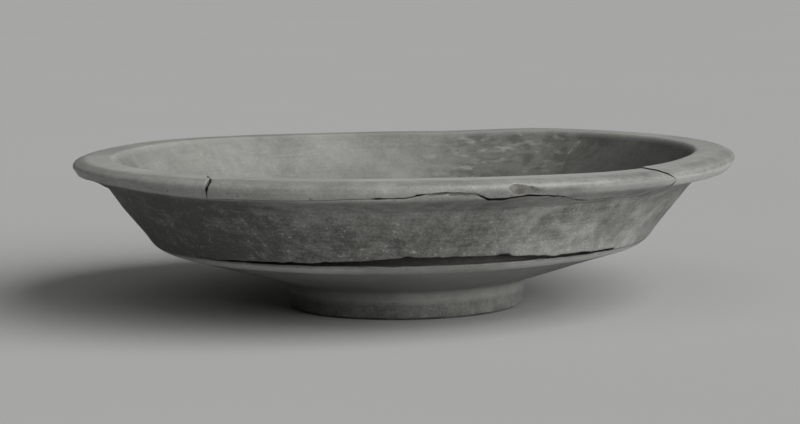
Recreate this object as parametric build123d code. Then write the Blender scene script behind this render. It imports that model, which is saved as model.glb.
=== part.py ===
from build123d import *
import os
from math import cos, radians, sin
from numpy import interp

# A shallow wheel-thrown bowl with a flat flanged rim, a straight flaring wall, a soft corner
# between wall and underbody, and a ring foot. It was broken and mended: seven sherds are held
# together by films of adhesive set back in the breaks. Sizes are millimetres and degrees.
# The origin is the centre of the foot's standing face, +Z is up, and the front is towards -Y.

# Rim and lip
RIM_DIAMETER = 260.0
TOTAL_HEIGHT = 61.0
LIP_CROWN_WIDTH = 4.2
LIP_CROWN_DROP = 1.6
LIP_FACE_HEIGHT = 2.2
LIP_DEPTH = 7.2
LIP_UNDERCUT = 2.7
LIP_EDGE_RADIUS = 1.8
LIP_FACE_RADIUS = 2.0
LIP_CROWN_RADIUS = 6.0
RIM_INNER_RADIUS = 2.6

# Wall and underbody
FLANGE_OVERHANG = 15.4
FLANGE_ROOT_DROP = 12.5
FLANGE_ROOT_RADIUS = 4.0
WALL_FLARE = 18.1
CARINATION_HEIGHT = 25.0
CARINATION_RADIUS = 12.0
WALL_THICKNESS = 8.0
FLOOR_THICKNESS = 8.0
INNER_CORNER_RADIUS = 14.0
FLOOR_DISH_RADIUS = 60.0

# Ring foot
FOOT_DIAMETER = 92.0
FOOT_WIDTH = 6.5
FOOT_HEIGHT = 10.5
FOOT_FLARE = 1.5
FOOT_EDGE_RADIUS = 1.2
FOOT_ROOT_RADIUS = 3.0
RECESS_DEPTH = 9.5

# Spalled chip on the edge of the front rim
CHIP_ANGLE = 289.0
CHIP_LENGTH = 15.0
CHIP_DEPTH = 1.3
CHIP_TILT = 50.0

# Adhesive: thickness of a tight joint, and how far it stays back from the skin of the vessel
GLUE_THICKNESS = 0.35
GLUE_SETBACK = 0.6
FRONT_GAP_SETBACK = 4.0

# Breaks that run from the wall's foot to the lip: angle at the carination, at the middle of
# the wall, at the root of the flange and at the lip
LEFT_BREAK = (217.4, 224.2, 231.6, 237.4)
RIGHT_BREAK = (324.0, 322.0, 319.4, 317.2)
BACK_RIGHT_BREAK = (46.4, 48.9, 47.4, 49.2)
BACK_LEFT_BREAK = (144.2, 141.0, 141.9, 138.2)
RIM_CROSS_BREAK = (311.0, 307.6, 304.6, 299.4)

# Break round the carination: distance up the wall from the corner, and the level ledge that it
# leaves before it turns square to the wall
CARINATION_BREAK_RISE = 2.9
BREAK_LEDGE_WIDTH = 4.5

# Opening of that break under the front wall: greatest height beyond a tight joint, then angles
# with the share of that height
FRONT_GAP_HEIGHT = 3.5
FRONT_GAP = (
    (208.0, 0.0),
    (224.0, 0.03),
    (236.0, 0.2),
    (248.0, 0.35),
    (259.0, 0.63),
    (269.0, 1.0),
    (279.0, 0.95),
    (290.0, 0.83),
    (304.0, 0.26),
    (318.0, 0.03),
    (334.0, 0.0),
)

# Break between front wall and front rim: its deepest dip under the lower edge of the lip, its
# widest opening beyond a tight joint, and its drop below the rim where it comes out inside.
# Then angles with the shares of that dip and of that opening
RIM_BREAK_DIP = 5.4
RIM_BREAK_OPENING = 2.3
RIM_BREAK_INNER_DROP = 6.4
RIM_BREAK = (
    (208.0, 0.0, 0.0),
    (236.0, 0.0, 0.0),
    (253.0, 0.07, 0.05),
    (266.0, -0.09, 0.17),
    (272.0, -0.15, 0.57),
    (276.0, -0.17, 1.0),
    (282.0, -0.09, 0.17),
    (290.0, 0.0, 0.13),
    (297.0, 0.17, 0.05),
    (301.0, 0.96, 0.13),
    (306.0, 1.0, 0.13),
    (310.0, 0.63, 0.05),
    (316.0, 0.22, 0.0),
    (334.0, 0.07, 0.0),
)

# Spare length of the cutting shapes beyond the vessel
SPARE = 12.0

# Corners of the half section, as radius and height
rim_radius = RIM_DIAMETER / 2
flange_root = Vector(rim_radius - FLANGE_OVERHANG, TOTAL_HEIGHT - FLANGE_ROOT_DROP)
carination = Vector(flange_root.X - WALL_FLARE, CARINATION_HEIGHT)
lip_edge = Vector(rim_radius - LIP_UNDERCUT, TOTAL_HEIGHT - LIP_DEPTH)
lip_face_top = Vector(rim_radius, TOTAL_HEIGHT - LIP_CROWN_DROP)
lip_face_bottom = lip_face_top - Vector(0, LIP_FACE_HEIGHT)
lip_crown = Vector(rim_radius - LIP_CROWN_WIDTH, TOTAL_HEIGHT)
foot_outer = Vector(FOOT_DIAMETER / 2, 0)
foot_inner = Vector(FOOT_DIAMETER / 2 - FOOT_WIDTH, 0)
foot_root = foot_outer + Vector(FOOT_FLARE, FOOT_HEIGHT)
recess_edge = foot_inner + Vector(-FOOT_FLARE, RECESS_DEPTH)

# Directions along the outer wall and the underbody, and square to them into the clay
up_wall = (flange_root - carination).normalized()
into_wall = Vector(-up_wall.Y, up_wall.X)
along_underbody = (carination - foot_root).normalized()
into_underbody = Vector(-along_underbody.Y, along_underbody.X)


def crossing(point, direction, other_point, other_direction):
    """Where two lines of the half section meet."""
    turn = direction.X * other_direction.Y - direction.Y * other_direction.X
    offset = other_point - point
    return point + direction * ((offset.X * other_direction.Y - offset.Y * other_direction.X) / turn)


level = Vector(1, 0)
upwards = Vector(0, 1)
inner_wall_foot = carination + into_wall * WALL_THICKNESS
inner_slope_foot = foot_root + into_underbody * FLOOR_THICKNESS
floor_centre = Vector(0, RECESS_DEPTH + FLOOR_THICKNESS)
rim_inner = crossing(inner_wall_foot, up_wall, Vector(0, TOTAL_HEIGHT), level)
inner_corner = crossing(inner_wall_foot, up_wall, inner_slope_foot, along_underbody)
floor_edge = crossing(floor_centre, level, inner_slope_foot, along_underbody)


def rounded(corners):
    """A closed face in the XY plane through the given corners, each with its own rounding."""
    face = make_face(Polyline([point for point, _ in corners], close=True))
    for point, radius in corners:
        if radius:
            corner = face.vertices().sort_by_distance(point)[0]
            face = fillet(corner, radius)
    return face


half_section = rounded(
    [
        (Vector(0, RECESS_DEPTH), 0),
        (recess_edge, FOOT_ROOT_RADIUS),
        (foot_inner, FOOT_EDGE_RADIUS),
        (foot_outer, FOOT_EDGE_RADIUS),
        (foot_root, FOOT_ROOT_RADIUS),
        (carination, CARINATION_RADIUS),
        (flange_root, FLANGE_ROOT_RADIUS),
        (lip_edge, LIP_EDGE_RADIUS),
        (lip_face_bottom, LIP_FACE_RADIUS),
        (lip_face_top, LIP_FACE_RADIUS),
        (lip_crown, LIP_CROWN_RADIUS),
        (rim_inner, RIM_INNER_RADIUS),
        (inner_corner, INNER_CORNER_RADIUS),
        (floor_edge, FLOOR_DISH_RADIUS),
        (floor_centre, 0),
    ]
)


def turned(face):
    """The solid that a face of the half section sweeps round the axis."""
    return revolve(Plane.XZ * face, Axis.Z)


def around(radius, angle, height):
    return Vector(radius * cos(radians(angle)), radius * sin(radians(angle)), height)


def chip():
    """A ball that spalls a shallow scoop off the upper edge of the lip."""
    radius = ((CHIP_LENGTH / 2) ** 2 + CHIP_DEPTH**2) / (2 * CHIP_DEPTH)
    reach = radius - CHIP_DEPTH
    out = reach * cos(radians(CHIP_TILT))
    up = reach * sin(radians(CHIP_TILT))
    edge = (lip_face_top + lip_crown) / 2
    return Location(around(edge.X + out, CHIP_ANGLE, edge.Y + up)) * Sphere(radius)


vessel = turned(half_section) - chip()
glue_core = turned(offset(half_section, -GLUE_SETBACK)) - chip()


def wall_point(up, into):
    """A point of the half section, measured up the wall from its corner and into the clay."""
    return carination + up_wall * up + into_wall * into


def polygon(points):
    return make_face(Polyline(list(points), close=True))


def break_profile(lift):
    """The carination break from outside to inside: a level ledge, then square to the wall."""
    edge = wall_point(CARINATION_BREAK_RISE, 0) + upwards * lift
    knee = edge - level * BREAK_LEDGE_WIDTH
    return Vector(rim_radius, edge.Y), knee


def below_break(lift):
    """All the space under the carination break."""
    bottom = Vector(0, -SPARE)
    outside, knee = break_profile(lift)
    top = crossing(bottom, upwards, knee, into_wall)
    return turned(polygon([bottom, Vector(rim_radius, -SPARE), outside, knee, top]))


# The break round the carination, with the room that a tight film of adhesive takes
under_break = below_break(0)
under_sherds = below_break(GLUE_THICKNESS)
upper_clay = vessel - under_sherds
upper_glue = glue_core - under_sherds


def break_line(angles, side):
    """Plan of a break from the axis to beyond the lip, shifted to one side by half a film."""
    middle = (carination.X + flange_root.X) / 2
    radii = (carination.X, middle, flange_root.X, rim_radius)
    line = [around(radius, angle, 0) for radius, angle in zip(radii, angles)]
    chord = (line[-1] - line[0]).normalized()
    shift = Vector(-chord.Y, chord.X) * (side * GLUE_THICKNESS / 2)
    inward = (line[0] - line[1]).normalized() * (WALL_THICKNESS + INNER_CORNER_RADIUS)
    outward = (line[-1] - line[-2]).normalized() * SPARE
    return [point + shift for point in [line[0] + inward, *line, line[-1] + outward]]


def upright(points):
    """A prism over a plan, taller than the vessel."""
    return extrude(Pos(0, 0, -SPARE) * polygon(points), TOTAL_HEIGHT + 2 * SPARE)


def wedge(first, second):
    """The space between two breaks, going round from the first to the second."""
    start = break_line(first, 1)
    end = break_line(second, -1)
    sweep = (second[-1] - first[-1]) % 360
    clear = (rim_radius + SPARE) / cos(radians(sweep / 6))
    outside = [around(clear, first[-1] + sweep * share / 3, 0) for share in (1, 2)]
    return upright([Vector(0, 0), *start, *outside, *reversed(end)])


def film(angles):
    """The thin space of a break itself."""
    return upright([*break_line(angles, -1), *reversed(break_line(angles, 1))])


inner_break = crossing(
    inner_wall_foot, up_wall, Vector(0, TOTAL_HEIGHT - RIM_BREAK_INNER_DROP), level
)
gap_angles, gap_shares = zip(*FRONT_GAP)
rim_angles, dip_shares, opening_shares = zip(*RIM_BREAK)
front_angles = sorted({*gap_angles, *rim_angles})


def rim_break_line(angle, outer_lift, inner_lift):
    """The rim break across the flange, from outside the lip to inside the bowl."""
    outer = lip_edge + upwards * (outer_lift - RIM_BREAK_DIP * interp(angle, rim_angles, dip_shares))
    inner = inner_break + upwards * inner_lift
    run = (outer - inner).normalized()
    return outer + run * SPARE, inner - run * SPARE


def wall_top(angle):
    """The wall's broken upper edge."""
    return rim_break_line(angle, 0, 0)


def rim_underside(angle):
    """The rim's broken lower edge: a tight film inside, and the break's opening outside."""
    opening = RIM_BREAK_OPENING * interp(angle, rim_angles, opening_shares)
    return rim_break_line(angle, GLUE_THICKNESS + opening, GLUE_THICKNESS)


def wall_section(angle):
    opening = FRONT_GAP_HEIGHT * interp(angle, gap_angles, gap_shares)
    outside, knee = break_profile(GLUE_THICKNESS + opening)
    outer, inner = wall_top(angle)
    return outside, outer, inner, knee + into_wall * (WALL_THICKNESS + SPARE), knee


def rim_section(angle):
    outer, inner = rim_underside(angle)
    above = TOTAL_HEIGHT + SPARE
    return outer, Vector(outer.X, above), Vector(inner.X, above), inner


def rim_film_section(angle):
    low_outer, low_inner = wall_top(angle)
    high_outer, high_inner = rim_underside(angle)
    return low_outer, high_outer, high_inner, low_inner


def belt(section):
    """A band round the front, ruled between sections at the angles of its breaks."""
    faces = []
    for angle in front_angles:
        outward = around(1, angle, 0)
        plane = Plane(origin=(0, 0, 0), x_dir=outward, z_dir=(outward.Y, -outward.X, 0))
        faces.append(plane * polygon(section(angle)))
    return loft(faces, ruled=True)


wall_belt = belt(wall_section)
rim_belt = belt(rim_section)
rim_film_belt = belt(rim_film_section)

left_wedge = wedge(BACK_LEFT_BREAK, LEFT_BREAK)
back_wedge = wedge(BACK_RIGHT_BREAK, BACK_LEFT_BREAK)
right_wedge = wedge(RIGHT_BREAK, BACK_RIGHT_BREAK)
front_wedge = wedge(LEFT_BREAK, RIGHT_BREAK)
rim_left_wedge = wedge(LEFT_BREAK, RIM_CROSS_BREAK)
rim_right_wedge = wedge(RIM_CROSS_BREAK, RIGHT_BREAK)

front_clay = upper_clay & front_wedge
front_wall = front_clay & wall_belt
tight_joint = (glue_core & under_sherds) - under_break

# The front adhesive stays deep in the open break, on the base and under the wall
gap_top = CARINATION_BREAK_RISE + FRONT_GAP_HEIGHT + FRONT_GAP_SETBACK
gap_back = WALL_THICKNESS + INNER_CORNER_RADIUS
open_break = turned(
    polygon(
        [
            wall_point(0, FRONT_GAP_SETBACK),
            wall_point(gap_top, FRONT_GAP_SETBACK),
            wall_point(gap_top, gap_back),
            wall_point(0, gap_back),
        ]
    )
)
front_joint = (glue_core & open_break & front_wedge) - under_break - front_wall

pieces = {
    "base_with_foot": vessel & under_break,
    "left_wall_sherd": upper_clay & left_wedge,
    "back_wall_sherd": upper_clay & back_wedge,
    "right_wall_sherd": upper_clay & right_wedge,
    "front_wall_sherd": front_wall,
    "front_rim_sherd_left": front_clay & rim_belt & rim_left_wedge,
    "front_rim_sherd_right": front_clay & rim_belt & rim_right_wedge,
    "left_break_adhesive": upper_glue & film(LEFT_BREAK),
    "right_break_adhesive": upper_glue & film(RIGHT_BREAK),
    "back_left_break_adhesive": upper_glue & film(BACK_LEFT_BREAK),
    "back_right_break_adhesive": upper_glue & film(BACK_RIGHT_BREAK),
    "left_carination_adhesive": tight_joint & left_wedge,
    "back_carination_adhesive": tight_joint & back_wedge,
    "right_carination_adhesive": tight_joint & right_wedge,
    "front_carination_adhesive": front_joint,
    "rim_seam_adhesive_left": glue_core & rim_film_belt & rim_left_wedge,
    "rim_seam_adhesive_right": glue_core & rim_film_belt & rim_right_wedge,
    "rim_cross_adhesive": glue_core & film(RIM_CROSS_BREAK) & rim_belt,
}

os.makedirs("parts", exist_ok=True)
for name, shape in pieces.items():
    export_step(shape, f"parts/{name}.step")
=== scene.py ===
"""A mended flanged bowl around the fixed CAD frame, with its stage.

Seven sherds of slipped clay are held by eleven films of adhesive. Every length is in metres
in the frame of the CAD model: the foot stands on z = 0, +Z is up and the front of the bowl is
towards -Y.
"""

import itertools
import math

import bmesh
import bpy
import numpy as np
from mathutils import Matrix, Vector


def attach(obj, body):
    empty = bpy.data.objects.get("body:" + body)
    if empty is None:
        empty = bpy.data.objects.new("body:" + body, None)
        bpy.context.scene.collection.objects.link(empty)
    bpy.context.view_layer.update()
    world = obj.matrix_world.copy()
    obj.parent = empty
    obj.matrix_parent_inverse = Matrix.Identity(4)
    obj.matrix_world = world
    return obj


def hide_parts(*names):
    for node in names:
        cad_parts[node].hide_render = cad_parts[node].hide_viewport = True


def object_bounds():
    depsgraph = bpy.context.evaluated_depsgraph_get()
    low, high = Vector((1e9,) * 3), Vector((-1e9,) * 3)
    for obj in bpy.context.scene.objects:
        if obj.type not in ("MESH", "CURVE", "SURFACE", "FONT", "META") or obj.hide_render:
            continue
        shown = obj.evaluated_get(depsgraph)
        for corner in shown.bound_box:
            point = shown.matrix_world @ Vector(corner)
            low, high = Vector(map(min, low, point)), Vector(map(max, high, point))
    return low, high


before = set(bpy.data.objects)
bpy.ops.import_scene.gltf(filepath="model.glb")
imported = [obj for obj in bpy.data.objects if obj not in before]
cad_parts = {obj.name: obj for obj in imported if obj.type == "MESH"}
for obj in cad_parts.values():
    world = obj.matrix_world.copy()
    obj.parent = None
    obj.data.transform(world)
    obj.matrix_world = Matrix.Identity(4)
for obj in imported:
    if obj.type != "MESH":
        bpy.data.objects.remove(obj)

bl_info = {
    "name": "Mended flanged bowl",
    "version": (1, 0, 0),
    "blender": (4, 5, 0),
    "location": "3D View > Sidebar > Bowl",
    "description": "Builds the sherds of a mended flanged bowl, their clay and their stage",
    "category": "Object",
}

cad_low, cad_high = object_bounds()
MM = 0.001

# Every angle is in degrees, anticlockwise seen from above, from the right end of the bowl

# Breaks from the wall's foot to the lip, as radius in millimetres and angle
LEFT_BREAK = (
    (96.5, 217.4), (105.5, 224.2), (114.6, 231.6), (125.3, 236.9), (128, 237.6), (130, 237.9),
)
RIGHT_BREAK = (
    (96.5, 324.0), (105.5, 322.0), (112.5, 319.6), (118.9, 318.1), (121.9, 317.3), (125.5, 316.5),
    (130, 316.4),
)
BACK_RIGHT_BREAK = ((96.5, 46.4), (105.5, 48.9), (114.6, 47.4), (130, 49.2))
BACK_LEFT_BREAK = ((96.5, 144.2), (105.5, 141.0), (114.6, 141.9), (130, 138.2))
RIM_CROSS_BREAK = ((96.5, 311.0), (105.5, 307.6), (114.6, 304.6), (130, 299.4))

# The breaks at the first and the second end of each stretch of wall and of front rim
WALL_ENDS = {
    "left": ("back_left", "left"),
    "back": ("back_right", "back_left"),
    "right": ("right", "back_right"),
    "front": ("left", "right"),
}
RIM_ENDS = {"left": ("left", "cross"), "right": ("cross", "right")}

# Opening of the carination break under the front wall: angle and share of the greatest opening
FRONT_GAP = (
    (208, 0), (224, 0.03), (236, 0.2), (248, 0.35), (259, 0.63), (269, 1), (279, 0.95),
    (290, 0.83), (298, 0.53), (304, 0.37), (312, 0.26), (319, 0.18), (324, 0.13), (334, 0),
)

# How far the left and the right break stand open, as pairs of radius and width and pairs of
# height and share, in millimetres
LEFT_OPENING = (
    ((122, 0), (125, 1), (131, 1)),
    ((53, 0.2), (54.5, 0.4), (57, 1.1), (58.5, 0.9), (60, 0.4), (61, 0.3)),
)
RIGHT_OPENING = (
    ((113, 0.03), (120, 0.1), (126, 0.25), (131, 0.25)),
    ((54, 0), (56, 0.5), (58, 1), (61, 1)),
)

# Break between front wall and front rim: its angle, then in millimetres its height above the
# lower edge of the lip, its gap and the width of the scar where a flake is gone from the wall
RIM_BREAK = (
    (208, 0, 0, 0), (236, 0, 0, 0), (253, 0.3, 0, 0), (264.5, 1.2, 0, 0), (265.6, 1.3, 0.25, 0),
    (267.8, 1.4, 0.15, 0), (270.1, 1.3, 0.15, 0), (271.2, 1.6, 0.2, 0), (271.8, 2.4, 0.5, 0.5),
    (273, 2.5, 0.3, 0.8), (274.2, 2.7, 0.4, 1.6), (275.7, 3, 0.4, 2), (278.5, 2.7, 0.05, 2),
    (280.1, 2.3, 0, 1.8), (281.3, 1.9, 0.05, 1), (281.9, 1.2, 0.5, 0.3), (283.4, 0.5, 0.9, 0),
    (285.1, 0.25, 0.95, 0), (287.5, 0.7, 0.65, 0), (289.9, 1.2, 0.5, 0), (291.7, 0.9, 0.5, 0),
    (293.5, 0.35, 0.4, 0), (296.3, -0.4, 0.4, 0), (297.2, -1, 0, 0), (299.6, -3.8, 0, 0),
    (301.1, -4.9, 0.6, 0), (304, -6.9, 0.6, 0), (308, -6.2, 0.6, 0), (309.7, -6.1, 0.3, 0),
    (312, -5, 0, 0), (316, -3, 0, 0), (334, 0, 0, 0),
)

# How pale the slip is made on the flange, the crown of the lip and the lip's lower face, round
# the bowl: angle and share, below zero where it is made darker. The pale shares are partly wear
# and partly painted light; the dark shares on the crown and on the lower lip beside the chip are
# painted shade
FLANGE_SLIP = (
    (0, 0.55), (50, 0.5), (75, 0.3), (170, 0.3), (200, 0.75), (215, 0.8), (235, 0.6), (250, 0.65),
    (264, 0.95), (292, 1), (306, 0.95), (320, 0.75), (360, 0.55),
)
CROWN_SLIP = (
    (0, 0.26), (232, 0.26), (254, -0.22), (296, -0.26), (318, -0.4), (345, -0.45), (360, 0.26),
)
FACE_SLIP = (
    (0, 0.26), (150, 0.26), (190, 0.6), (220, 0.6), (236, 0.26), (256, 0.45), (276, 0.45),
    (285, -0.2), (296, -0.2), (304, 0.65), (345, 0.65), (360, 0.26),
)

# How much lower the lip's underside is on the right, as radius and drop in millimetres, and how
# much higher its edge and its root are on the left, as angle or radius and rise in millimetres
RIGHT_LIP = ((112, 0), (115, -0.4), (118, -0.85), (122, -0.55), (125, 0), (127.5, 0.6), (130, 0.8))
LEFT_LIP = (
    (150, 0), (168, -0.7), (182, -0.7), (186, -0.2), (190, 0.5), (194, 1.1), (199, 1.6), (215, 1.5),
    (230, 0.3), (236, 0),
)
LEFT_ROOT = ((111, 0), (115, 0.9), (118, 1.5), (121, 1.2), (125, 0))

# A mended joint's hairline at the skin and its room for adhesive further in
TIGHT_GAP = 0.03 * MM
FILM_ROOM = 0.3 * MM

# How far a break wanders, the front rim has settled, the wall is sunk at the back and stands to
# the left of the rim and the foot
RAGGED_BREAK = 0.4 * MM
RIM_SETTLED = 1.25 * MM
BACK_SUNK = 1.75 * MM
OFF_CENTRE = 1.65 * MM

# Points of the mesh round a corner of the half section, across a break, across the flange, round
# the base and along a film, and its fine steps beside the breaks
ROUND_CORNER = 24
ACROSS = 22
RIM_ACROSS = 24
BASE_COLUMNS = 420
FILM_COLUMNS = 90
FINE_STEP = 0.35 * MM
FINEST_STEP = 0.3 * MM

# Edges of the mesh that turn by more than this stay sharp
SHARP_EDGE = math.radians(52)

# Where the carination break and the rim break are followed round the bowl
CORNER_TRACK = np.array([97 * MM, 28 * MM])
LIP_TRACK = np.array([127 * MM, 54 * MM])

# Lines midway through the wall and the underbody: radius and height of a point, and run per rise
WALL_MIDDLE = (91.5 * MM, 25 * MM, 0.77)
UNDERBODY_MIDDLE = (94 * MM, 20 * MM, 3.4)


def linear(*shades):
    """A colour picked as 0 to 255 on a screen, in the linear light that Blender works in."""
    return tuple(s / 3294.6 if s <= 10 else ((s / 255 + 0.055) / 1.055) ** 2.4 for s in shades)


def length_field(name, description, default):
    return bpy.props.FloatProperty(
        name=name, description=description, default=default, unit="LENGTH", precision=5
    )


def share_field(name, description, default):
    return bpy.props.FloatProperty(
        name=name, description=description, default=default, subtype="FACTOR", min=0, max=1
    )


def strength_field(name, description, default):
    return bpy.props.FloatProperty(name=name, description=description, default=default, min=0)


def colour_field(name, description, *shades):
    return bpy.props.FloatVectorProperty(
        name=name, description=description, default=linear(*shades), subtype="COLOR", min=0, max=1
    )


class BowlSizes(bpy.types.PropertyGroup):
    """Sizes of the bowl's section."""

    rim_radius: length_field(
        "Rim radius", "Axis to the face of the lip", (cad_high.x - cad_low.x) / 2
    )
    height: length_field("Height", "Standing face to the top of the rim", cad_high.z)
    lip_depth: length_field("Lip depth", "Top of the rim to the lower edge of the lip", 7.2 * MM)
    flange_overhang: length_field("Flange overhang", "Lip beyond the wall's top", 15.4 * MM)
    flange_drop: length_field("Flange drop", "Top of the rim to the flange's root", 12.5 * MM)
    wall_flare: length_field("Wall flare", "How far the wall leans out", 18.1 * MM)
    carination: length_field("Carination height", "Corner between wall and underbody", 25 * MM)
    thickness: length_field("Thickness", "Of the wall and the floor", 8 * MM)
    foot_radius: length_field("Foot radius", "Outside of the foot's standing face", 46 * MM)
    foot_width: length_field("Foot width", "Width of the standing face", 6.5 * MM)
    foot_height: length_field("Foot height", "Standing face to the underbody", 10.5 * MM)
    recess: length_field("Recess depth", "Hollow inside the foot", 9.5 * MM)
    front_gap: length_field("Front gap", "Widest opening of the carination break", 3.5 * MM)
    edge_wear: length_field("Edge wear", "Width worn off the edges of the breaks", 0.45 * MM)
    edge_chips: length_field("Edge chips", "Width of the larger chips along the breaks", 2.2 * MM)


class BowlColours(bpy.types.PropertyGroup):
    """Colours of the clay, its slip and the adhesive."""

    # Dark slip and worn slip are also the colours that painted shade and painted light on the slip
    # blend towards
    slip: colour_field("Slip", "Sound slip", 125, 125, 121)
    slip_dark: colour_field("Dark slip", "Thick or stained slip", 73, 73, 69)
    slip_worn: colour_field("Worn slip", "Slip rubbed thin", 165, 165, 161)
    clay: colour_field("Clay", "Bare clay in chips and fractures", 98, 97, 92)
    filler: colour_field("Filler", "Pale mending paste rubbed over the joints", 164, 163, 159)
    soil: colour_field("Soil", "Soil left in pits and breaks", 46, 45, 41)
    # Brown of the old adhesive, kept dark so that the film in the open gap under the front wall
    # also stands for painted shade there
    adhesive: colour_field("Adhesive", "Old brown adhesive", 42, 37, 32)
    mottling: share_field("Mottling", "Strength of the slip's blotches and flecks", 0.5)


class BowlStage(bpy.types.PropertyGroup):
    """Floor, light and camera."""

    floor: colour_field("Floor", "Plain floor", 172, 172, 171)
    key: strength_field("Key light", "Strength of the lamp on the right", 5.25)
    fill: strength_field("Fill light", "Strength of the softer lamp in front", 0.4)
    sky: strength_field("Sky light", "Strength of the world", 0.1)
    camera_distance: length_field("Camera distance", "Camera to the middle of the bowl", 1.0)


# Geometry of the half section


def unit(vector):
    return vector / np.linalg.norm(vector)


def meeting(point, direction, other, other_direction):
    """Where two lines of the half section meet."""
    return point + direction * np.linalg.solve(
        np.stack([direction, -other_direction], 1), other - point
    )[0]


def rounded(corners):
    """Points along a line of the half section, each corner rounded by its own radius."""
    line = [corners[0][0]]
    for (before, _), (corner, radius), (after, _) in zip(corners, corners[1:], corners[2:]):
        back, on = unit(before - corner), unit(after - corner)
        half = math.acos(back @ on) / 2
        centre = corner + unit(back + on) * radius / math.sin(half)
        start, end = (corner + way * radius / math.tan(half) - centre for way in (back, on))
        first = math.atan2(start[1], start[0])
        turn = (math.atan2(end[1], end[0]) - first + math.pi) % math.tau - math.pi
        for angle in np.linspace(first, first + turn, ROUND_CORNER):
            line.append(centre + radius * np.array([math.cos(angle), math.sin(angle)]))
    return np.array([*line, corners[-1][0]])


class Skin:
    """A line of the half section, measured along its length."""

    def __init__(self, points):
        self.points = points
        self.reach = np.append(0, np.cumsum(np.linalg.norm(np.diff(points, axis=0), axis=1)))
        self.length = self.reach[-1]

    def at(self, distance):
        return np.stack([np.interp(distance, self.reach, p) for p in self.points.T], -1)

    def nearest(self, point):
        """Distance along the line of its sampled point nearest to a point."""
        return self.reach[np.argmin(np.linalg.norm(self.points - point, axis=1))]

    def at_height(self, height, start, end):
        """Distance at which a rising stretch of the line reaches a height."""
        distance = np.linspace(start, end, 600)
        return np.interp(height, self.at(distance)[:, 1], distance)

    def meets(self, point, direction, start, end):
        """Distance at which a stretch of the line crosses a straight line."""
        distance = np.linspace(start, end, 900)
        off = self.at(distance) - point
        side = off[:, 0] * direction[1] - off[:, 1] * direction[0]
        turns = np.nonzero(side[:-1] * side[1:] <= 0)[0]
        if not len(turns):
            raise ValueError("a break line misses the skin of the bowl")
        k = turns[0]
        return distance[k] + (distance[1] - distance[0]) * side[k] / (side[k] - side[k + 1])


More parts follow.
